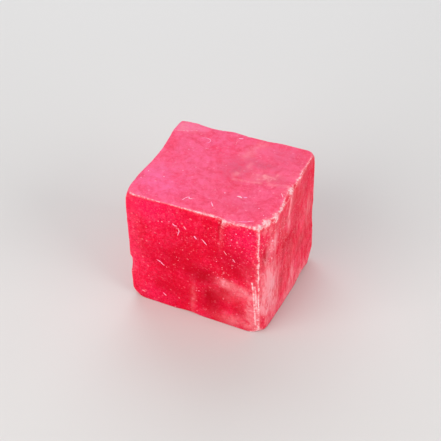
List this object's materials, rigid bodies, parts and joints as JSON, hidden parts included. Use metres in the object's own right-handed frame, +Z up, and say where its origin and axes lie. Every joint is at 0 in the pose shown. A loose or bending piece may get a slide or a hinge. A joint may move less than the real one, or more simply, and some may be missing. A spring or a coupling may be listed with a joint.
{
  "type": "ruby cube",
  "caption": "Sawn cube of rough ruby with worn corners, chipped edges and a bevelled upright edge, a loose mineral specimen that stands on its flat foot.",
  "frame": {"origin": "middle of the bounding box's footprint, on the sawn face that the stone rests on", "axes": "+X to the stone's right along its widest side, +Y from the front face to the back, +Z up out of the foot"},
  "size_m": [0.0156, 0.014, 0.0142],
  "materials": {
    "ruby": "sawn and slightly waxy, translucent pink red with milky veils and whitish worn edges"
  },
  "bodies": {
    "root": {"ruby_cube": "ruby"}
  },
  "joints": []
}
